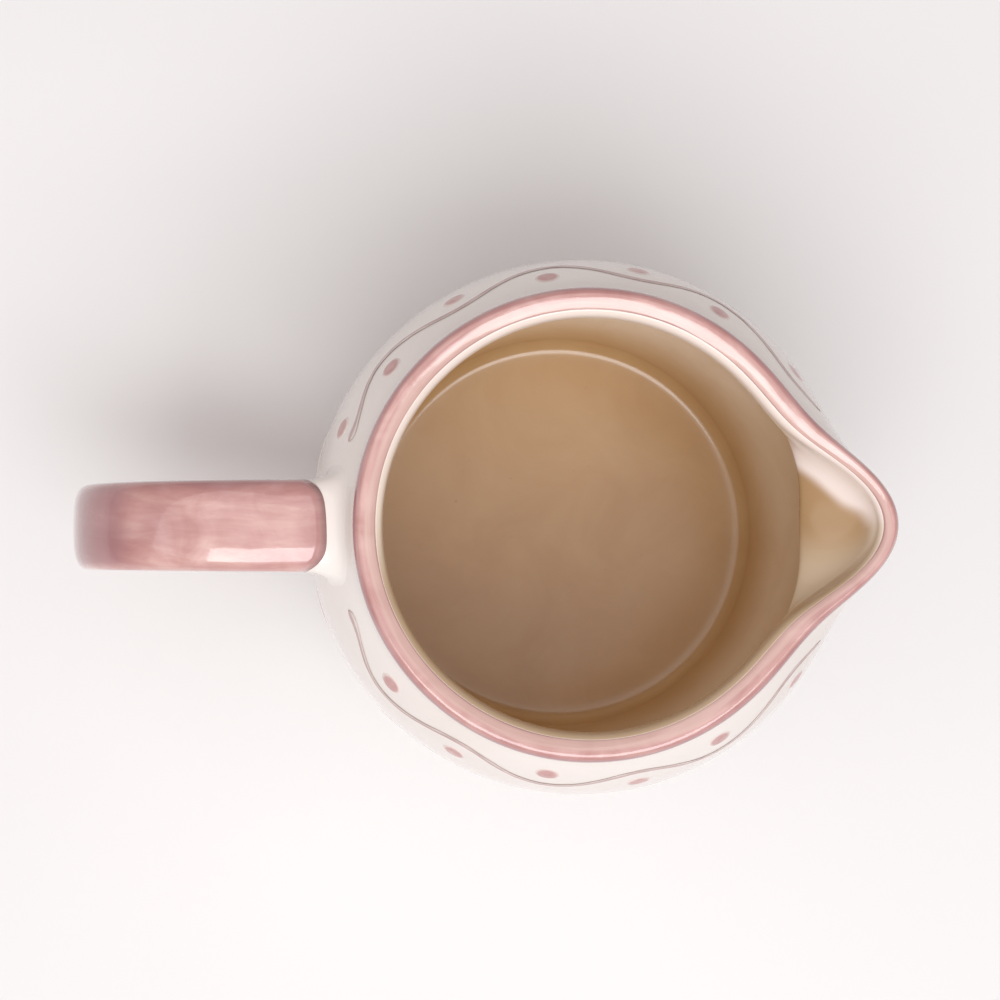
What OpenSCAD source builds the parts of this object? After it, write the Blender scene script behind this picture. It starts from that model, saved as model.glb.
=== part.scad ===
// Porcelain cream jug: a cast, round-bellied body with a pulled spout, a strap handle stuck on with slip,
// a bare foot ring, a caramel glaze inside, and pink painting on the lip, the handle and the shoulder.
// The origin is on the body's axis, on the table. +Z is up, +X is towards the spout, and the handle is on -X.

/* [Body] */
// Height from the table to the top of the painted lip
jug_h = 90; // [78:1:110]
// Outside radius of the belly
belly_r = 46; // [43:0.5:54]
// Height of the widest part of the belly
belly_z = 48; // [40:1:54]
// Outside radius of the neck, where the lip starts
neck_r = 38.6; // [34:0.2:42]
// Outside radius of the wall at the heel, under the belly
heel_r = 38; // [36:0.5:42]
// Radius of the rounding at the heel
heel_round = 2; // [1:0.1:3]
// How suddenly the shoulder turns in, higher is squarer
shoulder_power = 3.5; // [2:0.1:4.5]
// How suddenly the lower wall turns in, higher is squarer
hip_power = 2.8; // [2:0.1:4]
// Thickness of the wall
wall = 4.2; // [3:0.1:5]
// Thickness of the floor
floor_t = 4.6; // [3.5:0.1:7]
// Radius of the fillet between the floor and the wall inside
floor_fillet = 3.2; // [2:0.2:8]
// Height over which the wall thickens towards the lip
thicken_h = 10; // [6:0.5:14]

/* [Lip and spout] */
// Width of the rounded lip
lip_w = 4.8; // [4:0.1:5.6]
// Height of the lip above the neck
lip_h = 3.8; // [3:0.1:5]
// How far the spout reaches out past the lip
spout_reach = 11.5; // [7:0.5:14]
// Half angle at which the spout has lost two fifths of its reach
spout_spread = 12.4; // [10:0.2:15]
// Width of the lip at the tip of the spout
spout_lip_w = 3.2; // [2.6:0.1:4]
// How far the sill of the spout lies below the middle of the lip
sill_drop = 7.4; // [5:0.1:9]
// How far the sill of the spout lies back from the neck's inside
sill_back = 1.5; // [0.5:0.1:2.5]
// Height over which the wall swells out into the spout
spout_h = 22; // [18:1:26]

/* [Foot ring] */
// Height of the foot ring
foot_h = 2.2; // [1.5:0.1:3]
// Outside radius of the foot ring
foot_r = 34.6; // [30:0.2:35.6]
// Width of the foot ring
foot_w = 3.6; // [2.6:0.1:6]
// Chamfer on the foot ring's edges
foot_soft = 0.6; // [0.3:0.1:0.9]

/* [Handle] */
// Width of the strap at its roots
handle_w = 15.4; // [12:0.2:18]
// Width of the strap at its farthest point
handle_mid_w = 14.6; // [11:0.2:17]
// Thickness of the strap
handle_t = 6.8; // [5.6:0.1:8]
// Distance from the body's axis to the back of the handle
handle_reach = 86.8; // [80:0.2:94]
// Drop from the top of the lip to the middle of the upper root
upper_root_drop = 11.8; // [10.5:0.1:16]
// Height of the middle of the lower root
lower_root_z = 25; // [21:0.5:32]
// Size of the slip fillet round each root
fillet = 2.4; // [1.6:0.1:3.4]

/* [Painting] */
// Thickness of the fired colour on the lip and the handle
colour_t = 0.25; // [0.15:0.05:0.4]
// Thickness of the caramel glaze inside
glaze_t = 0.35; // [0.2:0.05:0.6]
// Thickness of the painted line and dots
paint_t = 0.2; // [0.1:0.05:0.3]
// Drop from the top of the lip to the middle of the wavy line
wave_drop = 11.6; // [10:0.1:18]
// Half the height of the wave
wave_rise = 2.5; // [1.5:0.1:3.5]
// Width of the wavy line
line_w = 1.1; // [0.5:0.1:1.4]
// Width of the blob where the brush starts the line
blob_w = 1.9; // [1:0.1:2.4]
// Diameter of a painted dot
dot_d = 3.8; // [2.4:0.1:4.4]
// Diameter of a blush spot on the belly
spot_d = 7; // [4:0.2:9]
// Height of the blush spots above the widest part of the belly
spot_rise = 0; // [-12:0.5:6]
// Number of blush spots on each side of the jug
spot_count = 6; // [3:1:6]
// Angle from the handle to the first blush spot
spot_first = 18; // [14:1:24]
// Angle from one blush spot to the next
spot_step = 27.8; // [16:0.2:27.8]

/* [Hidden] */

white = "#efece8";
bare = "#e3dacd";
slip_white = "#f2efec";
caramel = "#b08d66";
pink = "#dfb2ac";
mauve = "#b58e90";
dusty_pink = "#c99a98";
blush = "#e0a894";

// clearance under every coat, stroke and root, so that neighbours touch without cutting into each other
seat_gap = 0.05;
// steps over which a slope is measured, in mm and as a share of a curve
tiny_step = 0.05;
curve_step = 0.01;

// facets: columns round the axis, crowded towards the spout, and rows along each stretch of the outline
columns = 60;
crowding = 24;
wall_rows = 8;
upper_rows = 3;
spout_rows = 6;
outer_lip_rows = 4;
inner_lip_rows = 2;
fillet_rows = 4;
foot_facets = 96;
dab_facets = 48;

// share of the lip's height that lies under its widest line
lip_mid_share = 0.36;

// places worked out from the sizes above
clay_top = jug_h - colour_t;
neck_z = clay_top - lip_h;
lip_mid_z = neck_z + lip_mid_share * lip_h;
lip_rise = clay_top - lip_mid_z;
heel_z = foot_h + heel_round;
floor_z = foot_h + floor_t;
spout_root_z = neck_z - spout_h;
thicken_z = neck_z - thicken_h;
sill_z = lip_mid_z - sill_drop;
sill_r = neck_r - lip_w + sill_back;
tip_r = neck_r + spout_reach;
tip_inner_r = tip_r - spout_lip_w;
upper_root_z = jug_h - upper_root_drop;
wave_z = jug_h - wave_drop;
spot_z = belly_z + spot_rise;

// angles from the handle at which the brush touched down, with the line's crests and hollows between them
touches = [22, 39, 60, 81, 102, 122, 144];
// angles by which the line starts before its first crest, and over which it thins from its blob
line_lead = 2;
blob_run = 8;
line_end = 154;
line_step = 3;
// where the lip's pink stops on its inner slope, and where the caramel glaze starts, in degrees round the lip
pink_edge = 120;
glaze_edge = 126;
// height above the neck at which the lip's pink starts outside
band_edge = 0.3;

function mix(a, b, t) = a + (b - a) * t;
function clamped(v) = min(1, max(0, v));
function bezier(p, t) = pow(1 - t, 3) * p[0] + 3 * pow(1 - t, 2) * t * p[1]
    + 3 * (1 - t) * pow(t, 2) * p[2] + pow(t, 3) * p[3];
function bend(v, power) = sign(v) * pow(abs(v), power);

// ---- outline of the wall, as radius at a height ----
function outer_r(z) = z >= belly_z
    ? belly_r - (belly_r - neck_r) * pow(min(1, (z - belly_z) / (neck_z - belly_z)), shoulder_power)
    : belly_r - (belly_r - heel_r) * pow((belly_z - z) / (belly_z - heel_z), hip_power);
function wall_at(z) = mix(wall, lip_w, pow(clamped((z - thicken_z) / thicken_h), 2));
function inner_r(z) = outer_r(z) - wall_at(z);
// how far the wall leans in at a height, as an angle from upright
function lean(z) = atan((outer_r(z - tiny_step) - outer_r(z + tiny_step)) / (2 * tiny_step));

// An outline is a list of pairs: a point on the plain round jug, and the matching point through the spout's
// middle. Each point is [radius, height].
function plain(p) = [p, p];
heel_outline = [for (i = [0:fillet_rows]) let (a = 90 * i / fillet_rows)
    plain([heel_r - heel_round * (1 - sin(a)), heel_z - heel_round * cos(a)])];
lower_outline = [for (i = [1:wall_rows]) let (z = mix(heel_z, belly_z, i / wall_rows))
    plain([outer_r(z), z])];
upper_outline = [for (i = [1:upper_rows]) let (z = mix(belly_z, spout_root_z, i / upper_rows))
    plain([outer_r(z), z])];
// The spout's outside goes straight up from its root, then swings out to a tip that flares a little.
spout_swing = 0.55;
spout_turn = 0.75;
tip_flare = 0.4;
spout_outside = [[outer_r(spout_root_z), spout_root_z],
                 [outer_r(spout_root_z), mix(spout_root_z, neck_z, spout_swing)],
                 [tip_r - tip_flare, mix(spout_root_z, neck_z, spout_turn)],
                 [tip_r, neck_z]];
spout_outline = [for (i = [1:wall_rows]) let (t = i / wall_rows, z = mix(spout_root_z, neck_z, t))
    [[outer_r(z), z], bezier(spout_outside, t)]];
function lip_point(a) = let (across = (1 - cos(a)) / 2, z = lip_mid_z + lip_rise * sin(a))
    [[neck_r - lip_w * across, z], [tip_r - spout_lip_w * across, z]];
outer_lip = [for (i = [0:outer_lip_rows]) lip_point(pink_edge * i / outer_lip_rows)];
inner_lip = [for (i = [0:inner_lip_rows]) lip_point(mix(glaze_edge, 180, i / inner_lip_rows))];
// Inside, the channel drops from the tip and runs back to a rounded sill, and the throat goes on down.
channel_fall = [-1.2, -4];
sill_approach = [3, 2.8];
sill_turn = [-1, -1];
throat_swell = 1.6;
channel = [[tip_inner_r, lip_mid_z], [tip_inner_r, lip_mid_z] + channel_fall,
           [sill_r, sill_z] + sill_approach, [sill_r, sill_z]];
throat = [[sill_r, sill_z], [sill_r, sill_z] + sill_turn,
          [inner_r(spout_root_z) - throat_swell, mix(spout_root_z, sill_z, 0.5)],
          [inner_r(spout_root_z), spout_root_z]];
// the part of the plain wall that matches the channel
channel_h = 3;
channel_foot_z = neck_z - channel_h;
channel_outline = [for (i = [1:spout_rows]) let (t = i / spout_rows, z = mix(lip_mid_z, channel_foot_z, t))
    [[inner_r(z), z], bezier(channel, t)]];
throat_outline = [for (i = [1:spout_rows]) let (t = i / spout_rows, z = mix(channel_foot_z, spout_root_z, t))
    [[inner_r(z), z], bezier(throat, t)]];
fillet_top = floor_z + floor_fillet;
inside_outline = [for (i = [1:wall_rows]) let (z = mix(spout_root_z, fillet_top, i / wall_rows))
    plain([inner_r(z), z])];
floor_outline = [for (i = [1:fillet_rows]) let (a = 90 * i / fillet_rows)
    plain([inner_r(fillet_top) - floor_fillet * (1 - cos(a)), fillet_top - floor_fillet * sin(a)])];
inside = concat(inner_lip, channel_outline, throat_outline, inside_outline, floor_outline,
                [plain([0, floor_z])]);
outside = concat([plain([0, foot_h])], heel_outline, lower_outline, upper_outline, spout_outline);

// ---- an outline turned round the axis, drawn out into the spout ----
function azimuth(i) = let (t = 360 * i / columns) t - crowding * sin(t);
function spout_share(angle) = let (a = abs(angle) % 360, off = min(a, 360 - a))
    exp(-pow(off, 2) / (2 * pow(spout_spread, 2)));
function turned_point(pair, i) = let (a = azimuth(i), p = mix(pair[0], pair[1], spout_share(a)))
    [p[0] * cos(a), p[0] * sin(a), p[1]];
function ring(pair) = [for (i = [0:columns - 1]) turned_point(pair, i)];
// the same outline moved sideways by a distance, to its left as it runs
function side_step(line, i, k) = let (a = line[max(0, i - 1)][k], b = line[min(len(line) - 1, i + 1)][k],
    d = (b - a) / norm(b - a)) [-d[1], d[0]];
function beside(line, distance) = [for (i = [0:len(line) - 1])
    [for (k = [0, 1]) let (p = line[i][k] + distance * side_step(line, i, k)) [max(0, p[0]), p[1]]]];
function reversed(line) = [for (i = [len(line) - 1:-1:0]) line[i]];
function quad(a, b, c, d, flip) = flip ? [[a, c, b], [a, d, c]] : [[a, b, c], [a, c, d]];

// Rings of points joined into a closed skin. With capped, the first and last ring close on a point each.
module lofted(rings, flip, capped, ends = []) {
    n = len(rings[0]);
    m = len(rings);
    last = capped ? m - 2 : m - 1;
    sides = [for (j = [0:last], i = [0:n - 1]) let (k = (i + 1) % n, up = (j + 1) % m)
        each quad(j * n + i, j * n + k, up * n + k, up * n + i, flip)];
    caps = capped ? [for (i = [0:n - 1]) let (k = (i + 1) % n)
        let (base = (m - 1) * n) each flip
            ? [[m * n, i, k], [m * n + 1, base + k, base + i]]
            : [[m * n, k, i], [m * n + 1, base + i, base + k]]]
        : [];
    polyhedron(concat([for (r = rings) each r], ends), concat(sides, caps));
}

// A solid of revolution with the spout drawn out, from an outline that starts and ends on the axis
module turned(line, flip = false) {
    n = len(line);
    lofted([for (i = [1:n - 2]) ring(line[i])], !flip, true,
           [[0, 0, line[0][0][1]], [0, 0, line[n - 1][0][1]]]);
}

module body() {
    color(white) turned(concat(outside, outer_lip, inside));
}

module interior_glaze() {
    under = beside(inside, -seat_gap);
    face = beside(inside, -seat_gap - glaze_t);
    color(caramel) turned(concat(reversed(face), under), true);
}

module rim_band() {
    edge = [[[neck_r, neck_z + band_edge], [tip_r, neck_z + band_edge]]];
    line = concat(edge, outer_lip);
    under = beside(line, -seat_gap);
    face = beside(line, -colour_t);
    rings = [for (p = concat(under, reversed(face))) ring(p)];
    color(pink) lofted(rings, false, false);
}

module foot_ring() {
    inner_r = foot_r - foot_w;
    color(bare) rotate_extrude($fn = foot_facets)
        polygon([[inner_r, foot_h], [inner_r, foot_soft], [inner_r + foot_soft, 0],
                 [foot_r - foot_soft, 0], [foot_r, foot_soft], [foot_r, foot_h]]);
}

// ---- strap handle, swept along a curve in the XZ plane from the upper root to the lower root ----
back_x = -(handle_reach - colour_t - handle_t / 2);
// height of the farthest point, as a share of the way from the lower root to the upper
loop_share = 0.54;
loop_mid_z = mix(lower_root_z, upper_root_z, loop_share);
upper_root = [-outer_r(upper_root_z), upper_root_z];
lower_root = [-outer_r(lower_root_z), lower_root_z];
loop_back = [back_x, loop_mid_z];
// The strap rises from the upper root over a crown, falls to its farthest point, and runs in below.
crown_run = 0.58;
crown_rise = 5;
shoulder_out = 1;
shoulder_fall = 3;
back_tuck = 0.8;
tail_run = 0.66;
tail_rise = 3;
upper_curve = [upper_root, [mix(upper_root[0], back_x, crown_run), upper_root_z + crown_rise],
               [back_x - shoulder_out, upper_root_z - shoulder_fall], loop_back];
lower_curve = [loop_back, [back_x + back_tuck, mix(lower_root_z, loop_mid_z, 0.5)],
               [mix(lower_root[0], back_x, tail_run), lower_root_z + tail_rise], lower_root];
strap_sides = 20;
strap_steps = 11;
// roundness of the strap's section: 1 is an ellipse, and less is squarer
section_power = 0.62;

function strap_centre(u) = u <= 1 ? bezier(upper_curve, u) : bezier(lower_curve, u - 1);
function strap_along(u) =
    let (a = strap_centre(max(0, u - curve_step)), b = strap_centre(min(2, u + curve_step)))
    (b - a) / norm(b - a);
function strap_w(u) = mix(handle_w, handle_mid_w, sin(90 * u));
// a point on the strap's skin at angle s round its section, standing off by a distance
function section_y(u, s, off) = (strap_w(u) / 2 + off) * bend(cos(s), section_power);
function section_n(s, off) = (handle_t / 2 + off) * bend(sin(s), section_power);
function strap_point(u, s, off) = let (c = strap_centre(u), d = strap_along(u), n = section_n(s, off))
    [c[0] + d[1] * n, section_y(u, s, off), c[1] - d[0] * n];
// the wall's outside straight in from a point, a seating clearance away
function on_wall(y, z) = [-sqrt(pow(outer_r(z), 2) - y * y) - seat_gap, y, z];
function root_point(u, s, off) = let (c = strap_centre(u), d = strap_along(u))
    on_wall(section_y(u, s, off), c[1] - sign(d[0]) * section_n(s, off));
// parameter a fillet's length away from each root
root_step = 0.5 * fillet / norm(strap_centre(0.5) - strap_centre(0));
function station(j) = j == 0 ? 0 : j == 2 * strap_steps ? 2
    : mix(root_step, 2 - root_step, (j - 1) / (2 * strap_steps - 2));
function section_angle(i) = 360 * i / strap_sides;
function strap_ring(j, off) = [for (i = [0:strap_sides - 1])
    j == 0 || j == 2 * strap_steps ? root_point(station(j), section_angle(i), off)
    : strap_point(station(j), section_angle(i), off)];

module handle() {
    color(slip_white)
        lofted([for (j = [0:2 * strap_steps]) strap_ring(j, 0)], false, true,
               [on_wall(0, upper_root_z), on_wall(0, lower_root_z)]);
}

// A concave collar of slip in the corner between the strap and the wall, at the strap's first or last station
module slip_joint(end, flip) {
    near = end == 0 ? 1 : 2 * strap_steps - 1;
    corner = strap_ring(end, seat_gap);
    along = strap_ring(near, seat_gap);
    spread = strap_ring(end, fillet);
    hollow = [for (a = [90:-90 / fillet_rows:0])
        [for (i = [0:strap_sides - 1]) corner[i] + (along[i] - corner[i]) * (1 - sin(a))
            + (spread[i] - corner[i]) * (1 - cos(a))]];
    color(slip_white) lofted(concat([corner], hollow), flip, false);
}

module handle_upper_joint() {
    slip_joint(0, false);
}

module handle_lower_joint() {
    slip_joint(2 * strap_steps, true);
}

// The pink coat over the strap's back and sides, from the one slip fillet to the other
wash_wrap = -0.1;
module handle_wash() {
    first = 1;
    final = 2 * strap_steps - 1;
    rows = [for (i = [0:strap_sides - 1]) if (sin(section_angle(i)) > wash_wrap) i];
    function half(j, off) = [for (i = rows) strap_point(station(j), section_angle(i), off)];
    rings = [for (j = [first:final]) concat(half(j, seat_gap), reversed(half(j, colour_t)))];
    n = len(rings[0]);
    m = len(rings);
    h = len(rows);
    sides = [for (j = [0:m - 2], i = [0:n - 1]) let (k = (i + 1) % n)
        each quad(j * n + i, j * n + k, (j + 1) * n + k, (j + 1) * n + i, true)];
    function cap(base, flip) = [for (i = [0:h - 2])
        each quad(base + i, base + i + 1, base + n - 2 - i, base + n - 1 - i, flip)];
    color(pink) polyhedron([for (r = rings) each r], concat(sides, cap(0, false), cap((m - 1) * n, true)));
}

// ---- painting on the shoulder and belly ----
touch_phase = [for (i = [0:len(touches) - 1]) [touches[i], i]];
function wave_at(from_handle) = wave_z + wave_rise * cos(180 * lookup(from_handle, touch_phase));
function stroke_w(from_handle) = let (run = (from_handle - touches[0] + line_lead) / blob_run)
    mix(blob_w, line_w, min(1, run));
// radius of the wall's outside at an angle, with its first swelling towards the spout
function skin_r(angle, z) = let (q = bezier(spout_outside, clamped((z - spout_root_z) / spout_h)),
    share = z > spout_root_z ? spout_share(angle) : 0)
    outer_r(z) + share * (q[0] - outer_r(z) + tan(lean(z)) * (q[1] - z));
function shoulder_point(angle, z, off) = let (r = skin_r(angle, z) + off) [r * cos(angle), r * sin(angle), z];

module wavy_stroke(side) {
    spots = [for (a = [touches[0] - line_lead:line_step:line_end]) a];
    rings = [for (a = spots) let (angle = 180 - side * a, z = wave_at(a), h = stroke_w(a) / 2)
        [shoulder_point(angle, z - h, seat_gap), shoulder_point(angle, z - h, paint_t),
         shoulder_point(angle, z + h, paint_t), shoulder_point(angle, z + h, seat_gap)]];
    m = len(rings);
    sides = [for (j = [0:m - 2], i = [0:3]) let (k = (i + 1) % 4)
        each quad(j * 4 + i, j * 4 + k, (j + 1) * 4 + k, (j + 1) * 4 + i, side > 0)];
    caps = concat(quad(0, 1, 2, 3, side < 0), quad(m * 4 - 4, m * 4 - 3, m * 4 - 2, m * 4 - 1, side > 0));
    polyhedron([for (r = rings) each r], concat(sides, caps));
}

module wavy_line() {
    color(mauve) {
        wavy_stroke(1);
        wavy_stroke(-1);
    }
}

// A round dab of paint lying on the wall
module dab(angle, z, d) {
    rotate([0, 0, angle])
        translate([skin_r(angle, z), 0, z])
            rotate([0, 90 - lean(z), 0])
                translate([0, 0, seat_gap])
                    cylinder(h = paint_t, d = d, $fn = dab_facets);
}

module painted_dots() {
    color(dusty_pink) for (side = [1, -1], k = [side > 0 ? 0 : 1:len(touches) - 1])
        dab(180 - side * touches[k], wave_z - wave_rise * cos(180 * k), dot_d);
}

module blush_spots() {
    color(blush) for (side = [1, -1], k = [0:spot_count - 1])
        dab(180 - side * (spot_first + spot_step * k), spot_z, spot_d);
}

body();
foot_ring();
handle();
handle_upper_joint();
handle_lower_joint();
interior_glaze();
rim_band();
handle_wash();
wavy_line();
painted_dots();
blush_spots();
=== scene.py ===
import math

import bmesh
import bpy
from mathutils import Matrix, Vector, noise


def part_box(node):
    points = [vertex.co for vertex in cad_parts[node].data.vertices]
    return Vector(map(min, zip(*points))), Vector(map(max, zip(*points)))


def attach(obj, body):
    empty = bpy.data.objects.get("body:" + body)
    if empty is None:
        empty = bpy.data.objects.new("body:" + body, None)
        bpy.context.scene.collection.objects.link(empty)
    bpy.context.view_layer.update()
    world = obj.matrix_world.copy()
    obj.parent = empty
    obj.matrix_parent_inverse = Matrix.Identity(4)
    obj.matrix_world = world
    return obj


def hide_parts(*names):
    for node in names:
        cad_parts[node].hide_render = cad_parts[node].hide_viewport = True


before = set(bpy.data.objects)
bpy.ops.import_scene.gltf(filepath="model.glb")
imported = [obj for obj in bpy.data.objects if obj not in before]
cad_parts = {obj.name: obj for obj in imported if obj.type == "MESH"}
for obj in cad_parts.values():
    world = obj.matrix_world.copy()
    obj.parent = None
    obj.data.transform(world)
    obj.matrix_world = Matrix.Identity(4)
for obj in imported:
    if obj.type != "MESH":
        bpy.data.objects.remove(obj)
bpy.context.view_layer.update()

mm = 0.001
print("the frame is loaded:", len(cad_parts), "nodes")


# ---- small helpers ----

def boxOf(node):
    """Lowest and highest corner of a CAD node, in millimetres."""
    low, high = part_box(node)
    return low / mm, high / mm


def mix(a, b, t):
    return a + (b - a) * t


def smooth(t):
    t = min(1.0, max(0.0, t))
    return t * t * (3 - 2 * t)


def bezier(points, t):
    weights = ((1 - t) ** 3, 3 * (1 - t) ** 2 * t, 3 * (1 - t) * t * t, t ** 3)
    return tuple(sum(w * p[k] for w, p in zip(weights, points)) for k in range(len(points[0])))


def bend(value, power):
    return math.copysign(abs(value) ** power, value)


# ---- the jug's own shape, in millimetres ----
bodyLow, bodyHigh = boxOf("body")
footLow, footHigh = boxOf("foot_ring")
rimLow, rimHigh = boxOf("rim_band")
handleLow, handleHigh = boxOf("handle")
washLow, washHigh = boxOf("handle_wash")

jug = {
    "clayTop": bodyHigh.z,
    "bellyRadius": -bodyLow.x,
    "tipRadius": bodyHigh.x,
    "footHeight": footHigh.z,
    "footRadius": footHigh.x,
    "footWidth": 3.6,
    "bellyHeight": 48.0,
    "neckRadius": 38.6,
    "heelRadius": 38.0,
    "heelRound": 2.0,
    "shoulderPower": 3.5,
    "hipPower": 2.8,
    "wall": 4.2,
    "floor": 4.6,
    "floorFillet": 3.2,
    "lipWidth": 4.8,
    "lipHeight": 3.8,
    "tipLipWidth": 3.2,
    "spoutSpread": 12.4,   # degrees from the middle at which it has lost two fifths of its reach
    "spoutHeight": 22.0,
    "sillDrop": 7.4,
    "sillBack": 1.5,
    "columns": 72,
    "crowding": 24.0,      # degrees by which the columns crowd towards the spout
}
neckZ = jug["clayTop"] - jug["lipHeight"]
lipMidZ = neckZ + 0.36 * jug["lipHeight"]
lipRise = jug["clayTop"] - lipMidZ
heelZ = jug["footHeight"] + jug["heelRound"]
floorZ = jug["footHeight"] + jug["floor"]
filletTop = floorZ + jug["floorFillet"]
spoutRootZ = neckZ - jug["spoutHeight"]
sillZ = lipMidZ - jug["sillDrop"]
sillRadius = jug["neckRadius"] - jug["lipWidth"] + jug["sillBack"]
tipInner = jug["tipRadius"] - jug["tipLipWidth"]


def outerRadius(z):
    if z >= jug["bellyHeight"]:
        t = min(1.0, (z - jug["bellyHeight"]) / (neckZ - jug["bellyHeight"]))
        return jug["bellyRadius"] - (jug["bellyRadius"] - jug["neckRadius"]) * t ** jug["shoulderPower"]
    t = min(1.0, (jug["bellyHeight"] - z) / (jug["bellyHeight"] - heelZ))
    return jug["bellyRadius"] - (jug["bellyRadius"] - jug["heelRadius"]) * t ** jug["hipPower"]


def innerRadius(z):
    thicken = min(1.0, max(0.0, (z - neckZ + 10) / 10)) ** 2
    return outerRadius(z) - mix(jug["wall"], jug["lipWidth"], thicken)


def leanAt(z):
    return (outerRadius(z - 0.05) - outerRadius(z + 0.05)) / 0.1


def spoutShare(angle):
    off = abs(math.degrees(math.atan2(math.sin(angle), math.cos(angle))))
    return math.exp(-off * off / (2 * jug["spoutSpread"] ** 2))


# A station of the outline: the point on the plain round jug, and its partner through the spout's middle.
spoutOutside = [(outerRadius(spoutRootZ), spoutRootZ), (outerRadius(spoutRootZ), mix(spoutRootZ, neckZ, 0.55)),
                (jug["tipRadius"] - 0.4, mix(spoutRootZ, neckZ, 0.75)), (jug["tipRadius"], neckZ)]
channelCurve = [(tipInner, lipMidZ), (tipInner - 1.2, lipMidZ - 4), (sillRadius + 3, sillZ + 2.8),
                (sillRadius, sillZ)]
throatCurve = [(sillRadius, sillZ), (sillRadius - 1, sillZ - 1),
               (innerRadius(spoutRootZ) - 1.6, mix(spoutRootZ, sillZ, 0.5)),
               (innerRadius(spoutRootZ), spoutRootZ)]
channelFoot = neckZ - 3


def plain(radius, z):
    return ((radius, z), (radius, z))


def outsideStations(rows=10):
    stations = [plain(8, jug["footHeight"]), plain(24, jug["footHeight"])]
    for i in range(6):
        a = math.radians(90 * i / 5)
        stations.append(plain(jug["heelRadius"] - jug["heelRound"] * (1 - math.sin(a)),
                              heelZ - jug["heelRound"] * math.cos(a)))
    heights = [mix(heelZ, jug["bellyHeight"], (i + 1) / rows) for i in range(rows)]
    heights += [mix(jug["bellyHeight"], spoutRootZ, (i + 1) / 3) for i in range(3)]
    stations += [plain(outerRadius(z), z) for z in heights]
    for i in range(rows):
        t = (i + 1) / rows
        z = mix(spoutRootZ, neckZ, t)
        stations.append(((outerRadius(z), z), bezier(spoutOutside, t)))
    return stations


# the lip's section from outside to inside, as shares of its width and rise: a soft edge, then a long inward slope
lipProfile = [(0, 0), (0, 0.3), (0.035, 0.62), (0.11, 0.88), (0.22, 1), (0.37, 0.955), (0.53, 0.88), (0.68, 0.8),
              (0.8, 0.72), (0.9, 0.58), (0.97, 0.35), (1, 0)]


def lipStation(step):
    k = min(len(lipProfile) - 2, int(step))
    across, rise = (mix(a, b, step - k) for a, b in zip(lipProfile[k], lipProfile[k + 1]))
    z = lipMidZ + lipRise * rise
    return ((jug["neckRadius"] - jug["lipWidth"] * across, z), (jug["tipRadius"] - jug["tipLipWidth"] * across, z))


def insideStations(rows=8):
    stations = []
    for i in range(rows):
        t = (i + 1) / rows
        z = mix(lipMidZ, channelFoot, t)
        stations.append(((innerRadius(z), z), bezier(channelCurve, t)))
    for i in range(rows):
        t = (i + 1) / rows
        z = mix(channelFoot, spoutRootZ, t)
        stations.append(((innerRadius(z), z), bezier(throatCurve, t)))
    heights = [mix(spoutRootZ, filletTop, (i + 1) / rows) for i in range(rows)]
    stations += [plain(innerRadius(z), z) for z in heights]
    for i in range(1, 7):
        a = math.radians(90 * i / 6)
        stations.append(plain(innerRadius(filletTop) - jug["floorFillet"] * (1 - math.cos(a)),
                              filletTop - jug["floorFillet"] * math.sin(a)))
    return stations + [plain(20, floorZ), plain(8, floorZ)]


def ringAt(station, columns):
    ring = []
    for i in range(columns):
        angle = 2 * math.pi * i / columns
        angle -= math.radians(jug["crowding"]) * math.sin(angle)
        share = spoutShare(angle)
        radius, z = (mix(station[0][k], station[1][k], share) for k in (0, 1))
        ring.append(Vector((radius * math.cos(angle), radius * math.sin(angle), z)) * mm)
    return ring


def stepAside(stations, distances):
    """The stations moved off the clay, to the right of the way they run, by a distance each."""
    moved = []
    last = len(stations) - 1
    for i, distance in enumerate(distances):
        pair = []
        for k in (0, 1):
            a, b = stations[max(0, i - 1)][k], stations[min(last, i + 1)][k]
            length = math.hypot(b[0] - a[0], b[1] - a[1])
            pair.append((stations[i][k][0] + distance * (b[1] - a[1]) / length,
                         stations[i][k][1] - distance * (b[0] - a[0]) / length))
        moved.append(tuple(pair))
    return moved


# ---- modelling ----

def deselectAll():
    if bpy.context.object and bpy.context.object.mode != "OBJECT":
        bpy.ops.object.mode_set(mode="OBJECT")
    bpy.ops.object.select_all(action="DESELECT")


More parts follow.
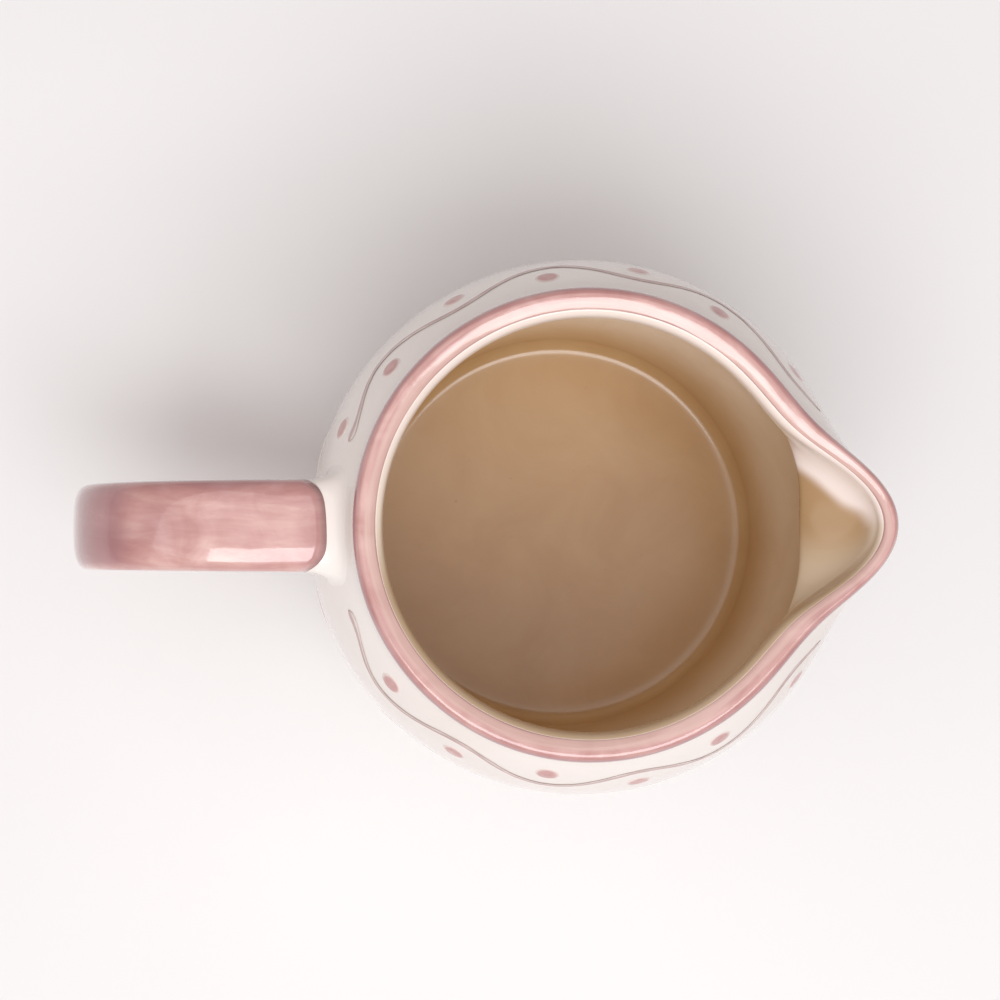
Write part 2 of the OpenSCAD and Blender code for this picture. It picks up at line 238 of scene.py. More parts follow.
def growRings(name, rings, closing="fill"):
    """A piece grown ring by ring: a circle, extruded and set in place once for each ring."""
    deselectAll()
    count = len(rings[0])
    centre = sum(rings[0], Vector()) / count
    bpy.ops.mesh.primitive_circle_add(vertices=count, radius=(rings[0][0] - centre).length, location=centre)
    piece = bpy.context.object
    piece.name = piece.data.name = name
    bpy.ops.object.transform_apply(location=True, rotation=True, scale=True)
    bpy.ops.object.mode_set(mode="EDIT")
    bpy.ops.mesh.select_mode(type="EDGE")
    bpy.ops.mesh.select_all(action="SELECT")
    column = {}
    for k, ring in enumerate(rings + ([rings[0]] if closing == "loop" else [])):
        if k:
            bpy.ops.mesh.extrude_edges_move(TRANSFORM_OT_translate={"value": (0, 0, mm)})
        cage = bmesh.from_edit_mesh(piece.data)
        cage.verts.ensure_lookup_table()
        fresh = [v for v in cage.verts if v.select]
        if k == 0:
            column = {v.index: v.index for v in fresh}
        else:
            cage.verts.index_update()
            column = {v.index: column[w.index] for v in fresh for w in (e.other_vert(v) for e in v.link_edges)
                      if w.index in column and not w.select}
        for v in fresh:
            v.co = ring[column[v.index]]
        bmesh.update_edit_mesh(piece.data)
    if closing == "fill":
        for ring in (rings[-1], rings[0]):
            spots = {tuple(round(x, 6) for x in p) for p in ring}
            bpy.ops.mesh.select_all(action="DESELECT")
            bpy.ops.mesh.select_mode(type="VERT")
            cage = bmesh.from_edit_mesh(piece.data)
            for v in cage.verts:
                v.select = tuple(round(x, 6) for x in v.co) in spots
            cage.select_flush_mode()
            # a creased rim keeps the end's outline even when it is subdivided
            crease = cage.edges.layers.float.get("crease_edge") or cage.edges.layers.float.new("crease_edge")
            for e in cage.edges:
                if e.verts[0].select and e.verts[1].select:
                    e[crease] = 1.0
            bmesh.update_edit_mesh(piece.data)
            bpy.ops.mesh.edge_face_add()
    else:
        bpy.ops.mesh.select_all(action="SELECT")
        bpy.ops.mesh.remove_doubles(threshold=0.001 * mm)
    bpy.ops.mesh.select_all(action="SELECT")
    bpy.ops.mesh.normals_make_consistent(inside=False)
    bpy.ops.object.mode_set(mode="OBJECT")
    return piece


def finishPiece(piece, subdivisions=2, node=None, material=None, extra=()):
    """Subdivides and smooths the piece, and ties it to the frame."""
    deselectAll()
    piece.select_set(True)
    bpy.context.view_layer.objects.active = piece
    if subdivisions:
        smoother = piece.modifiers.new("soft clay", "SUBSURF")
        smoother.levels = smoother.render_levels = subdivisions
        bpy.ops.object.modifier_apply(modifier=smoother.name)
    bpy.ops.object.shade_smooth()
    if material:
        piece.data.materials.clear()
        piece.data.materials.append(material)
    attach(piece, "root")
    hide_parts(node, *extra)
    print("made", piece.name, len(piece.data.polygons), "faces")
    return piece


def paintAttribute(piece, name, valueAt):
    """A number at each point of the finished mesh, for a material that follows the surface."""
    layer = piece.data.attributes.get(name) or piece.data.attributes.new(name, "FLOAT", "POINT")
    for i, v in enumerate(piece.data.vertices):
        layer.data[i].value = valueAt(v.co / mm)


# ---- materials ----

def linear(hexColour):
    """An sRGB hex colour as linear red, green, blue, alpha."""
    channels = [int(hexColour[i:i + 2], 16) / 255 for i in (1, 3, 5)]
    return tuple(c / 12.92 if c <= 0.04045 else ((c + 0.055) / 1.055) ** 2.4 for c in channels) + (1.0,)


def addNode(tree, kind, settings=None, inputs=None):
    """One node, with its settings and with its inputs set to values or linked to other nodes' outputs."""
    node = tree.nodes.new(kind)
    for key, value in (settings or {}).items():
        setattr(node, key, value)
    for key, value in (inputs or {}).items():
        if isinstance(value, bpy.types.NodeSocket):
            tree.links.new(value, node.inputs[key])
        else:
            node.inputs[key].default_value = value
    return node


def newMaterial(name):
    material = bpy.data.materials.new(name)
    material.use_nodes = True
    tree = material.node_tree
    shader = tree.nodes["Principled BSDF"]
    return material, tree, shader


def ramp(tree, factor, stops):
    node = addNode(tree, "ShaderNodeValToRGB", None, {"Fac": factor})
    elements = node.color_ramp.elements
    while len(elements) < len(stops):
        elements.new(0.5)
    for element, (position, colour) in zip(elements, stops):
        element.position = position
        element.color = linear(colour) if isinstance(colour, str) else (colour, colour, colour, 1.0)
    return node.outputs["Color"]


def blend(tree, factor, a, b, mode="MIX"):
    node = addNode(tree, "ShaderNodeMix", {"data_type": "RGBA", "blend_type": mode, "clamp_result": True})
    for socket, value in ((node.inputs[0], factor), (node.inputs[6], a), (node.inputs[7], b)):
        if isinstance(value, bpy.types.NodeSocket):
            tree.links.new(value, socket)
        else:
            socket.default_value = value
    return node.outputs[2]


def clouds(tree, vector, sizeInMm, detail=3.0, roughness=0.5, distortion=0.0):
    """Soft noise whose patches are about this many millimetres across."""
    return addNode(tree, "ShaderNodeTexNoise", None,
                   {"Vector": vector, "Scale": 1 / (sizeInMm * mm), "Detail": detail, "Roughness": roughness,
                    "Distortion": distortion}).outputs["Fac"]


def glazeSkin(tree, shader, vector, waveInMm, depthInMm):
    """The slow unevenness of a fired glaze, which breaks up reflections a little."""
    slow = clouds(tree, vector, waveInMm, detail=1.0)
    bump = addNode(tree, "ShaderNodeBump", None, {"Height": slow, "Strength": 0.5, "Distance": depthInMm * mm})
    tree.links.new(bump.outputs["Normal"], shader.inputs["Normal"])


def clearGlazedPorcelain():
    # white cast porcelain under a clear glaze: a wet gloss over a soft, faintly warm white
    material, tree, shader = newMaterial("clearGlazedPorcelain")
    place = addNode(tree, "ShaderNodeTexCoord").outputs["Object"]
    tone = ramp(tree, clouds(tree, place, 26), [(0.3, "#F0E6E0"), (0.7, "#F7F0EB")])
    specks = ramp(tree, clouds(tree, place, 0.9, detail=0.0), [(0.82, 1.0), (0.87, 0.95)])
    tree.links.new(blend(tree, 1.0, tone, specks, "MULTIPLY"), shader.inputs["Base Color"])
    shader.inputs["Roughness"].default_value = 0.09
    shader.inputs["IOR"].default_value = 1.5
    glazeSkin(tree, shader, place, 9, 0.12)
    return material


def barePorcelain():
    # unglazed porcelain rubbed smooth after the firing: matt, chalky and a little darker where it has worn
    material, tree, shader = newMaterial("barePorcelain")
    place = addNode(tree, "ShaderNodeTexCoord").outputs["Object"]
    grain = clouds(tree, place, 0.6, detail=6.0, roughness=0.7)
    tone = ramp(tree, grain, [(0.3, "#D8CDBE"), (0.7, "#EAE2D6")])
    worn = ramp(tree, clouds(tree, place, 7), [(0.35, 0.86), (0.65, 1.0)])
    tree.links.new(blend(tree, 1.0, tone, worn, "MULTIPLY"), shader.inputs["Base Color"])
    shader.inputs["Roughness"].default_value = 0.72
    bump = addNode(tree, "ShaderNodeBump", None, {"Height": grain, "Strength": 0.5, "Distance": 0.08 * mm})
    tree.links.new(bump.outputs["Normal"], shader.inputs["Normal"])
    return material


def caramelGlaze():
    # a brown-tinted gloss glaze poured inside: cloudy where it ran, with a few iron specks, painted shade that
    # darkens it towards the floor, and a painted highlight by the lip and on one side wall of the channel
    material, tree, shader = newMaterial("caramelGlaze")
    place = addNode(tree, "ShaderNodeTexCoord").outputs["Object"]
    cloudy = clouds(tree, place, 18, detail=5.0, roughness=0.55, distortion=0.6)
    tone = ramp(tree, cloudy, [(0.3, "#E8D3B6"), (0.5, "#EEDCC2"), (0.72, "#F3E4CE")])
    # painted shade: the lining is darker towards the floor, deep inside the jug
    height = addNode(tree, "ShaderNodeSeparateXYZ", None, {0: place}).outputs["Z"]
    floorShade = addNode(tree, "ShaderNodeMapRange", {"interpolation_type": "SMOOTHSTEP"},
                   {"Value": height, "From Min": 8 * mm, "From Max": 26 * mm, "To Min": 1.0, "To Max": 0.0})
    tone = blend(tree, floorShade.outputs["Result"], tone, linear("#D8BF9E"), "MULTIPLY")
    gathered = addNode(tree, "ShaderNodeAttribute", {"attribute_name": "gathered"}).outputs["Fac"]
    tone = blend(tree, gathered, tone, linear("#A98459"))
    # painted highlight: paler by the lip and on one side wall of the channel
    paleAndPaintedHighlight = addNode(tree, "ShaderNodeAttribute", {"attribute_name": "lipAndChannelHighlight"}).outputs["Fac"]
    tone = blend(tree, paleAndPaintedHighlight, tone, linear("#FAEBE5"))
    iron = ramp(tree, clouds(tree, place, 1.3, detail=2.0), [(0.74, 1.0), (0.82, 0.86)])
    tree.links.new(blend(tree, 1.0, tone, iron, "MULTIPLY"), shader.inputs["Base Color"])
    shader.inputs["Roughness"].default_value = 0.22
    shader.inputs["IOR"].default_value = 1.52
    shader.inputs["Coat Weight"].default_value = 0.5
    shader.inputs["Coat Roughness"].default_value = 0.14
    glazeSkin(tree, shader, place, 12, 0.15)
    return material


def brushedPink():
    # pink underglaze colour laid on with a wet brush: streaks along the stroke, a dark line where it pooled, paler
    # over the inner part of the lip, which is partly a painted highlight, and painted shade on the handle's far
    # bend and one edge
    material, tree, shader = newMaterial("brushedPink")
    place = addNode(tree, "ShaderNodeTexCoord").outputs["Object"]
    across = addNode(tree, "ShaderNodeAttribute", {"attribute_name": "across"}).outputs["Fac"]
    sideways = addNode(tree, "ShaderNodeCombineXYZ", None, {"Z": across}).outputs["Vector"]
    # slow along the stroke, a change every 14 mm, and quick across it
    stroke = addNode(tree, "ShaderNodeVectorMath", {"operation": "MULTIPLY_ADD"},
                     {0: place, 1: (1 / (14 * mm),) * 3, 2: sideways}).outputs["Vector"]
    streaks = addNode(tree, "ShaderNodeTexNoise", None,
                      {"Vector": stroke, "Scale": 1.0, "Detail": 4.0, "Roughness": 0.6, "Distortion": 0.4}).outputs["Fac"]
    tone = ramp(tree, streaks, [(0.28, "#CB9A97"), (0.5, "#DAACA7"), (0.7, "#E6C0B7")])
    patches = ramp(tree, clouds(tree, place, 9, detail=4.0, distortion=1.0), [(0.35, "#E8D8D6"), (0.65, "#FFFFFF")])
    tone = blend(tree, 1.0, tone, patches, "MULTIPLY")
    # paler over the inner part of the lip: thinner paint, and partly a painted highlight
    paleAndPaintedHighlight = addNode(tree, "ShaderNodeAttribute", {"attribute_name": "paleAndPaintedHighlight"}).outputs["Fac"]
    tone = blend(tree, paleAndPaintedHighlight, tone, linear("#E0BFB4"))
    # darker where the paint pooled; on the handle this also carries painted shade
    pooledAndShade = addNode(tree, "ShaderNodeAttribute", {"attribute_name": "pooledAndShade"}).outputs["Fac"]
    tone = blend(tree, pooledAndShade, tone, linear("#A8777A"))
    tree.links.new(tone, shader.inputs["Base Color"])
    shader.inputs["Roughness"].default_value = 0.12
    shader.inputs["IOR"].default_value = 1.5
    shader.inputs["Coat Weight"].default_value = 1.0
    shader.inputs["Coat Roughness"].default_value = 0.05
    slow = addNode(tree, "ShaderNodeBump", None,
                   {"Height": clouds(tree, place, 6, detail=1.0), "Strength": 0.5, "Distance": 0.16 * mm})
    fine = addNode(tree, "ShaderNodeBump", None,
                   {"Height": streaks, "Strength": 0.5, "Distance": 0.05 * mm, "Normal": slow.outputs["Normal"]})
    tree.links.new(fine.outputs["Normal"], shader.inputs["Normal"])
    tree.links.new(fine.outputs["Normal"], shader.inputs["Coat Normal"])
    return material


def brushedLine(name, pale, dark, sizeInMm):
    # thin underglaze colour from a fine brush, so it is paler where the brush was dry
    material, tree, shader = newMaterial(name)
    place = addNode(tree, "ShaderNodeTexCoord").outputs["Object"]
    tone = ramp(tree, clouds(tree, place, sizeInMm, detail=4.0), [(0.3, dark), (0.7, pale)])
    strength = addNode(tree, "ShaderNodeAttribute", {"attribute_name": "strength"}).outputs["Fac"]
    tone = blend(tree, strength, linear("#F4ECE7"), tone)
    tree.links.new(tone, shader.inputs["Base Color"])
    shader.inputs["Roughness"].default_value = 0.1
    shader.inputs["IOR"].default_value = 1.5
    return material


porcelain = clearGlazedPorcelain()
bareClay = barePorcelain()
caramel = caramelGlaze()
pink = brushedPink()
mauveLine = brushedLine("mauveLine", "#CFB4B1", "#B79795", 3)
dustyPinkDab = brushedLine("dustyPinkDab", "#D5A9A4", "#C3918F", 1.6)
blushDab = brushedLine("blushDab", "#F2CDBE", "#E9B9A8", 3)
print("materials are ready")


# ---- body, lining, lip and foot ring ----
lining = {"thickness": 0.3, "edgeThickness": 0.05, "start": 7.66}
lipColour = {"thickness": 0.2, "edgeThickness": 0.04, "stop": 7.6}


def makeBody():
    stations = outsideStations() + [lipStation(i) for i in range(len(lipProfile))] + insideStations()
    piece = growRings("porcelainBody", [ringAt(s, jug["columns"]) for s in stations])
    return finishPiece(piece, 2, "body", porcelain)


def makeLining():
    edge = [lipStation(i) for i in (lining["start"], 8, 9, 10, 11)]
    stations = edge + insideStations()
    outer = [mix(lining["edgeThickness"], lining["thickness"], smooth(i / 4)) for i in range(len(stations))]
    face = stepAside(stations, [-d for d in outer])
    # the lining runs inwards, so its wet face is on the other hand than the lip's
    under = stepAside(stations, [0.02 for _ in stations])
    rings = [ringAt(s, jug["columns"]) for s in under[::-1] + face]
    piece = growRings("caramelLining", rings)
    finishPiece(piece, 2, "interior_glaze", caramel)

    def paintedHighlightAt(p):
        # painted highlight: paler over the inner slope of the lip, strongest on the side towards the window light,
        # and over the channel's side wall on that side
        share = spoutShare(math.atan2(p.y, p.x))
        waver = noise.noise(p * 0.2)
        edge = mix(lipMidZ - 1.2, lipMidZ - 3.2, share) + 0.7 * waver
        litSide = mix(0.05, 0.8, smooth((p.y + 12) / 30))
        side = smooth((p.y + 1 - 0.75 * (45.5 - p.x) + 1.4 * waver) / 3) * smooth((p.z - sillZ - 0.5) / 2)
        return max(litSide * smooth((p.z - edge) / mix(1.6, 3.2, share)), 0.9 * side * smooth((p.x - 31) / 3))

    def gatheredAt(p):
        # and it gathered where the stream runs, from the sill to the tip
        stream = smooth((p.x - 32) / 3) * smooth((p.z - sillZ + 2) / 2) * (1 - 0.6 * smooth((-p.y + 1) / 10))
        edge = 0.7 * smooth((p.z - lipMidZ + 2.2) / 1.2) * smooth((4 - p.y) / 16)
        return max(0.95 * stream * (1 - smooth((p.z - lipMidZ + 2) / 2)), edge)

    paintAttribute(piece, "lipAndChannelHighlight", paintedHighlightAt)
    paintAttribute(piece, "gathered", gatheredAt)
    return piece


def lipAcross(point):
    """How far a point lies across the lip, from 0 outside to 1 inside."""
    share = spoutShare(math.atan2(point.y, point.x))
    outside = mix(jug["neckRadius"], jug["tipRadius"], share)
    width = mix(jug["lipWidth"], jug["tipLipWidth"], share)
    return (outside - math.hypot(point.x, point.y)) / width


def makeLip():
    low = ((jug["neckRadius"], neckZ + 0.25), (jug["tipRadius"], neckZ + 0.25))
    stations = [low] + [lipStation(i) for i in range(8)] + [lipStation(lipColour["stop"])]
    last = len(stations) - 1
    swell = [smooth(min(i, last - i) / 2) for i in range(last + 1)]
    face = stepAside(stations, [mix(lipColour["edgeThickness"], lipColour["thickness"], s) for s in swell])
    under = stepAside(stations, [0.01 for _ in stations])
    rings = [ringAt(s, jug["columns"]) for s in face + under[::-1]]
    piece = growRings("pinkLip", rings, "loop")
    finishPiece(piece, 2, "rim_band", pink)
    paintAttribute(piece, "across", lambda p: 7 * lipAcross(p))

    def pooledAt(p):
        at = lipAcross(p)
        waver = 0.03 * noise.noise(p * 0.15)
        outside = 1 - smooth((at + waver) / 0.13)
        dry = 0.35 + 0.65 * smooth(0.5 + 1.4 * noise.noise(p * 0.07 + Vector((0, 0, 9))))
        inside = smooth((at + 0.5 * waver - 0.71) / 0.03) * dry
        band = 0.25 * smooth((0.34 - at + 4 * waver) / 0.2)
        return min(0.9, max(0.85 * outside, 0.6 * inside) + band)

    paintAttribute(piece, "pooledAndShade", pooledAt)
    # paler over the inner part of the lip: thinner paint, and partly a painted highlight
    paintAttribute(piece, "paleAndPaintedHighlight", lambda p: 0.6 * smooth((lipAcross(p) - 0.34 + 0.1 * noise.noise(p * 0.1)) / 0.14))
    return piece


def makeFoot():
    soft = 0.7
    outer, inner = jug["footRadius"], jug["footRadius"] - jug["footWidth"]
    outline = [(inner, jug["footHeight"]), (inner, soft), (inner + 0.2, 0.2), (inner + soft, 0), (mix(inner, outer, 0.5), 0),
               (outer - soft, 0), (outer - 0.2, 0.2), (outer, soft), (outer, jug["footHeight"])]
    rings = [ringAt(plain(*p), 96) for p in outline]
    piece = growRings("footRing", rings, "loop")
    return finishPiece(piece, 1, "foot_ring", bareClay)


makeBody()
makeLining()
makeLip()
makeFoot()


# ---- handle ----
upperJointLow, upperJointHigh = boxOf("handle_upper_joint")
lowerJointLow, lowerJointHigh = boxOf("handle_lower_joint")
strap = {
    "width": handleHigh.y * 2,
    "middleWidth": 14.6,
    "thickness": 6.8,
    "coat": 0.25,
    "fillet": 2.4,
    "squareness": 0.62,
    "upperZ": mix(upperJointLow.z, upperJointHigh.z, 0.5),
    "lowerZ": mix(lowerJointLow.z, lowerJointHigh.z, 0.5),
    "jointRun": 0.06,
    "sides": 20,
    "steps": 30,
}
backX = washLow.x + strap["coat"] + strap["thickness"] / 2
loopMidZ = mix(strap["lowerZ"], strap["upperZ"], 0.54)
upperRoot = (-outerRadius(strap["upperZ"]), strap["upperZ"])
lowerRoot = (-outerRadius(strap["lowerZ"]), strap["lowerZ"])
upperCurve = [upperRoot, (mix(upperRoot[0], backX, 0.58), strap["upperZ"] + 5),
              (backX - 1, strap["upperZ"] - 3), (backX, loopMidZ)]
lowerCurve = [(backX, loopMidZ), (backX + 0.8, mix(strap["lowerZ"], loopMidZ, 0.5)),
              (mix(lowerRoot[0], backX, 0.66), strap["lowerZ"] + 3), lowerRoot]


def strapCentre(u):
    return Vector(bezier(upperCurve, u)) if u <= 1 else Vector(bezier(lowerCurve, u - 1))


def strapAlong(u):
    return (strapCentre(min(2, u + 0.01)) - strapCentre(max(0, u - 0.01))).normalized()


def strapPoint(u, s, off=0.0):
    """A point on the strap's skin in millimetres: u runs from the upper root to the lower, s round the section."""
    centre, along = strapCentre(u), strapAlong(u)
    width = mix(strap["width"], strap["middleWidth"], math.sin(math.pi * u / 2))
    side = (width / 2 + off) * bend(math.cos(s), strap["squareness"])
    out = (strap["thickness"] / 2 + off) * bend(math.sin(s), strap["squareness"])
    return Vector((centre.x + along.y * out, side, centre.y - along.x * out))


def onWall(y, z, sink):
    return Vector((-math.sqrt(outerRadius(z) ** 2 - y * y) + sink, y, z))


def strapRing(u, off=0.0, sink=0.3):
    angles = [2 * math.pi * i / strap["sides"] for i in range(strap["sides"])]
    points = [strapPoint(u, s, off) for s in angles]
    if u in (0, 2):
        points = [onWall(p.y, p.z, sink) for p in points]
    return [p * mm for p in points]


def makeHandle():
    start = 0.06
    middle = [mix(start, 2 - start, i / strap["steps"]) for i in range(strap["steps"] + 1)]
    piece = growRings("strapHandle", [strapRing(u) for u in [0, *middle, 2]])
    return finishPiece(piece, 2, "handle", porcelain)


def rootPoint(root, s, off):
    p = strapPoint(root, s, off)
    return onWall(p.y, p.z, 0.06)


def jointPoint(root, s, a, off=0.0, tuck=0.0):
    """A point on the slip fillet: a runs from the strap at 0 to the wall at 90 degrees."""
    near = strap["jointRun"] if root == 0 else 2 - strap["jointRun"]
    corner, along, spread = rootPoint(root, s, 0), strapPoint(near, s, -tuck), rootPoint(root, s, strap["fillet"])
    p = corner + (along - corner) * (1 - math.sin(a)) + (spread - corner) * (1 - math.cos(a))
    return p + (along + spread - corner - p).normalized() * off


def makeJoint(name, node, root):
    """The concave collar of slip that was wiped into the corner where the strap meets the wall."""
    rows = 6
    angles = [2 * math.pi * i / strap["sides"] for i in range(strap["sides"])]
    rings = [strapRing(root, 0.0, 0.6)]
    for reach, sink in ((0.6, 0.55), (0.3, 0.22)):
        edge = [rootPoint(root, s, strap["fillet"] + reach) for s in angles]
        rings.append([onWall(p.y, p.z, sink) * mm for p in edge])
    for k in range(rows + 1):
        rings.append([jointPoint(root, s, math.radians(90 * (rows - k) / rows), 0.0, 0.03) * mm for s in angles])
    for run, tuck in ((0.012, 0.16), (0.03, 0.5)):
        near = strap["jointRun"] + run
        rings.append([strapPoint(near if root == 0 else 2 - near, s, -tuck) * mm for s in angles])
    piece = growRings(name, rings, "loop")
    return finishPiece(piece, 2, node, porcelain)


wash = {
    "steps": 44,
    "start": -0.03,      # shares of half the strap's length, where less than nothing lies on the slip fillet
    "stop": 1.86,
    "filletSpan": 0.07,
    "roundness": 0.03,   # how far the ends of the stroke lag at its sides
    "reach": 12,
    "thickness": 0.2,
}


def washPoint(w, s, off):
    if w < 0:
        return jointPoint(0, s, math.radians(-90 * w / wash["filletSpan"]), off)
    return strapPoint(strap["jointRun"] + w, s, off)


def makeWash():
    rows = 16
    rings = []
    for k in range(wash["steps"] + 1):
        t = k / wash["steps"]
        face, under = [], []
        for i in range(rows + 1):
            s = math.radians(mix(-wash["reach"], 180 + wash["reach"], i / rows))
            ragged = 0.006 * noise.noise(Vector((1.2 * math.cos(s), 0, 3.1)))
            lag = wash["roundness"] * abs(math.cos(s)) ** 2.5 + ragged
            w = mix(wash["start"] + lag, wash["stop"] - lag, t)
            edge = smooth(min(i, rows - i) / 3) * smooth(min(t, 1 - t) * 14)
            lift = 0.13 * smooth((0.03 - w) / 0.02)   # over the slip fillet, which swells a little
            face.append(washPoint(w, s, mix(0.04, wash["thickness"], edge) + lift) * mm)
            under.append(washPoint(w, s, 0.0) * mm)
        rings.append(face + under[::-1])
    piece = growRings("pinkHandleWash", rings)
    finishPiece(piece, 1, "handle_wash", pink)
    samples = [(i / 60, strapCentre(i / 60)) for i in range(121)]

    def nearest(p):
        return min(samples, key=lambda item: (item[1].x - p.x) ** 2 + (item[1].y - p.z) ** 2)[0]

    paintAttribute(piece, "across", lambda p: p.y / 2.6)

    def pooledAt(p):
        u = nearest(p)
        waver = noise.noise(p * 0.13)
        # darker at the root, where the paint pooled
        root = 1 - smooth((u - 0.03 + 0.02 * waver) / 0.05)
        # painted shade: darker along the strap's +Y edge, which faces away from the window light
        side = smooth((abs(p.y) - 5.6 + 1.2 * waver) / 1.6) * (0.7 if p.y > 0 else 0.1)
        # painted shade: darker at the far bend, where the strap turns down away from the light
        farBendShade = 0.8 * smooth((-71 - p.x + 5 * waver) / 9) * smooth((7.2 - abs(p.y)) / 1.5)
        patch = 0.35 * smooth(noise.noise(p * 0.09 + Vector((4, 0, 0))) * 2.2)
        return min(0.8, 0.45 * root + 0.6 * side + farBendShade + patch)

    paintAttribute(piece, "pooledAndShade", pooledAt)
    return piece


makeHandle()
makeJoint("upperSlipJoint", "handle_upper_joint", 0)
makeJoint("lowerSlipJoint", "handle_lower_joint", 2)
makeWash()


# ---- painting on the shoulder and belly ----
painting = {
    "touches": (22, 39, 60, 81, 102, 122, 144),  # degrees from the handle where the brush came down
    "lineStop": 154,
    "middleZ": rimHigh.z - 11.6,
    "rise": 2.5,
    "lineWidth": 1.0,
    "blobWidth": 1.9,
    "dotSize": 3.8,
    "spotSize": 7.0,
    "spotCount": 6,
    "firstSpot": 18,
    "spotStep": 27.8,
    "spotZ": jug["bellyHeight"],
    "thickness": 0.12,
}


def skinPoint(angle, z, off):
    """A point on the body's outside, or off it by a distance, with its swelling towards the spout."""
    radius = outerRadius(z)
    if z > spoutRootZ:
        t = min(1.0, (z - spoutRootZ) / jug["spoutHeight"])
        partner = bezier(spoutOutside, t)
        radius += spoutShare(angle) * (partner[0] - radius + leanAt(z) * (partner[1] - z))
    lean = math.atan(leanAt(z))
    radius += off * math.cos(lean)
    return Vector((radius * math.cos(angle), radius * math.sin(angle), z + off * math.sin(lean)))


def waveAt(fromHandle):
    touches = painting["touches"]
    if fromHandle <= touches[0]:
        phase = (fromHandle - touches[0]) / 17
    elif fromHandle >= touches[-1]:
        phase = len(touches) - 1 + (fromHandle - touches[-1]) / 21
    else:
        k = max(i for i, t in enumerate(touches) if t <= fromHandle)
        phase = k + (fromHandle - touches[k]) / (touches[k + 1] - touches[k])
    return painting["middleZ"] + painting["rise"] * math.cos(math.pi * phase)


def makeLine():
    strokes = []
    for side in (1, -1):
        steps, sides = 140, 8
        start, stop = painting["touches"][0] - 2.5, painting["lineStop"]
        rings = []
        for k in range(steps + 1):
            at = mix(start, stop, k / steps)
            blob = mix(painting["blobWidth"], painting["lineWidth"], smooth((at - start) / 9))
            brush = blob * (1 + 0.28 * noise.noise(Vector((at * 0.21, side * 5, 0))))
            taper = min(1.0, (min(at - start, stop - at) / 1.4) ** 0.5 if 0 < k < steps else 0.12)
            half = max(0.05, brush * taper / 2)
            # across the stroke is square to the way it runs
            slope = (waveAt(at + 0.5) - waveAt(at - 0.5)) / (outerRadius(painting["middleZ"]) * math.radians(1))
            tilt = math.atan(slope)
            ring = []
            for i in range(sides):
                s = 2 * math.pi * i / sides
                reach, lift = half * math.cos(s), painting["thickness"] * max(0.0, math.sin(s)) * taper - 0.03
                z = waveAt(at) + reach * math.cos(tilt)
                turn = math.degrees(reach * math.sin(tilt) / outerRadius(z))
                angle = math.radians(180 - side * (at - turn))
                ring.append(skinPoint(angle, z, lift + (0.05 if math.sin(s) > -0.01 else 0)) * mm)
            rings.append(ring)
        strokes.append(growRings("stroke", rings))
    deselectAll()
    for stroke in strokes:
        stroke.select_set(True)
    bpy.context.view_layer.objects.active = strokes[0]
    bpy.ops.object.join()
    strokes[0].name = strokes[0].data.name = "wavyLines"
    piece = finishPiece(strokes[0], 1, "wavy_line", mauveLine)

    def strengthAt(p):
        at = 180 - abs(math.degrees(math.atan2(p.y, p.x)))
        off = abs(p.z - waveAt(at)) / (0.5 * painting["lineWidth"])
        return 1 - 0.75 * smooth((off - 0.5) / 0.6)

    paintAttribute(piece, "strength", strengthAt)
    return piece


def makeDab(angle, z, size, seed):
    """One round dab of colour, a little uneven as a brush leaves it, lying on the wall."""
    columns, wobble = 24, 0.07
    rings = []
    for share, lift in ((1.08, -1.6), (1.02, -0.3), (0.93, 0.25), (0.74, 0.65), (0.4, 0.95), (0.12, 1.0)):
        ring = []
        for i in range(columns):
            s = 2 * math.pi * i / columns
            uneven = 1 + wobble * noise.noise(Vector((math.cos(s), math.sin(s), seed * 3.7)) * 1.6)
            reach = size / 2 * share * uneven
            up, turn = reach * math.sin(s), reach * 1.04 * math.cos(s) / outerRadius(z)
            ring.append(skinPoint(angle + turn, z + up * math.cos(math.atan(leanAt(z))),
                                  painting["thickness"] * lift) * mm)
        rings.append(ring)
    return growRings("dab", rings)


def joinDabs(dabs, name, node, material, size, softFrom):
    centres = [sum((v.co for v in dab.data.vertices), Vector()) / len(dab.data.vertices) / mm for dab in dabs]
    deselectAll()
    for dab in dabs:
        dab.select_set(True)
    bpy.context.view_layer.objects.active = dabs[0]
    bpy.ops.object.join()
    dabs[0].name = dabs[0].data.name = name
    piece = finishPiece(dabs[0], 1, node, material)

    def strengthAt(p):
        off = min((p - centre).length for centre in centres) / (size / 2)
        return 1 - 0.8 * smooth((off - softFrom) / (1.05 - softFrom))

    paintAttribute(piece, "strength", strengthAt)
    return piece


def makeDots():
    dots = []
    for side in (1, -1):
        for k, touch in enumerate(painting["touches"]):
            if k or side > 0:
                z = painting["middleZ"] - painting["rise"] * math.cos(math.pi * k)
                dots.append(makeDab(math.radians(180 - side * touch), z, painting["dotSize"], k + 9 * side))
    return joinDabs(dots, "paintedDots", "painted_dots", dustyPinkDab, painting["dotSize"], 0.72)


def makeSpots():
    spots = []
    for side in (1, -1):
        for k in range(painting["spotCount"]):
            angle = math.radians(180 - side * (painting["firstSpot"] + painting["spotStep"] * k))
            spots.append(makeDab(angle, painting["spotZ"], painting["spotSize"], 30 + k * side))
    return joinDabs(spots, "blushSpots", "blush_spots", blushDab, painting["spotSize"], 0.3)


makeLine()
makeDots()
makeSpots()


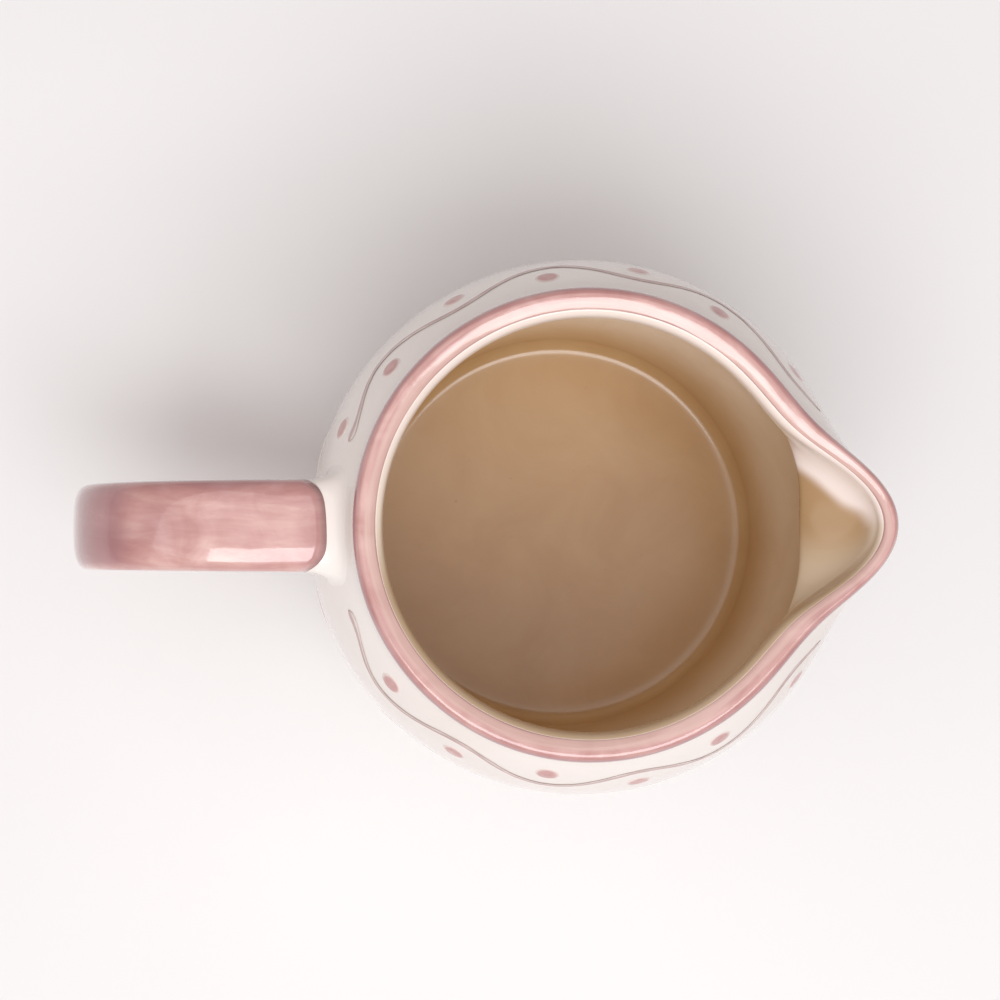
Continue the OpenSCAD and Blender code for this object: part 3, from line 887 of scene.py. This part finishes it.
# ---- floor, light and camera ----
studio = {
    "floorSize": 6.0,
    "skyColour": "#FFF6F4",
    "skyStrength": 0.35,
    # each light: place, size in metres, power in watts, colour
    "overheadLight": ((-0.15, -0.20, 1.50), (2.4, 2.0), 12.5, "#FFFAF8"),
    "windowLight": ((0.02, -0.58, 1.18), (1.00, 0.75), 9.0, "#FAFDFF"),
    "cameraAt": (-0.0403, -0.0083, 0.590),
    "shift": (0.158, 0.076),
    "lens": 111.2,
}


def makeFloor():
    deselectAll()
    bpy.ops.mesh.primitive_plane_add(size=studio["floorSize"], location=(0, 0, 0))
    floor = bpy.context.object
    floor.name = "paleFloor"
    material, tree, shader = newMaterial("matteBoard")
    place = addNode(tree, "ShaderNodeTexCoord").outputs["Object"]
    tone = ramp(tree, clouds(tree, place, 160, detail=2.0), [(0.3, "#EDECEC"), (0.7, "#F1F0F0")])
    tree.links.new(tone, shader.inputs["Base Color"])
    shader.inputs["Roughness"].default_value = 0.6
    floor.data.materials.append(material)


def makeLight(name):
    place, size, power, colour = studio[name]
    deselectAll()
    bpy.ops.object.light_add(type="AREA", location=place)
    light = bpy.context.object
    light.name = name
    light.data.shape = "RECTANGLE"
    light.data.size, light.data.size_y = size
    light.data.energy = power
    light.data.color = linear(colour)[:3]
    light.rotation_euler = (Vector((0, 0, 0.05)) - Vector(place)).to_track_quat("-Z", "Y").to_euler()


def makeSky():
    world = bpy.context.scene.world or bpy.data.worlds.new("studio")
    bpy.context.scene.world = world
    world.use_nodes = True
    sky = world.node_tree.nodes["Background"]
    sky.inputs["Color"].default_value = linear(studio["skyColour"])
    sky.inputs["Strength"].default_value = studio["skyStrength"]
    bpy.context.scene.view_settings.view_transform = "Standard"


def makeCamera():
    deselectAll()
    bpy.ops.object.camera_add(location=studio["cameraAt"], rotation=(0, 0, 0))
    camera = bpy.context.object
    camera.data.lens = studio["lens"]
    camera.data.shift_x, camera.data.shift_y = studio["shift"]
    camera.data.clip_start = 0.01
    bpy.context.scene.camera = camera


makeFloor()
makeLight("overheadLight")
makeLight("windowLight")
makeSky()
makeCamera()

print("the scene is ready")
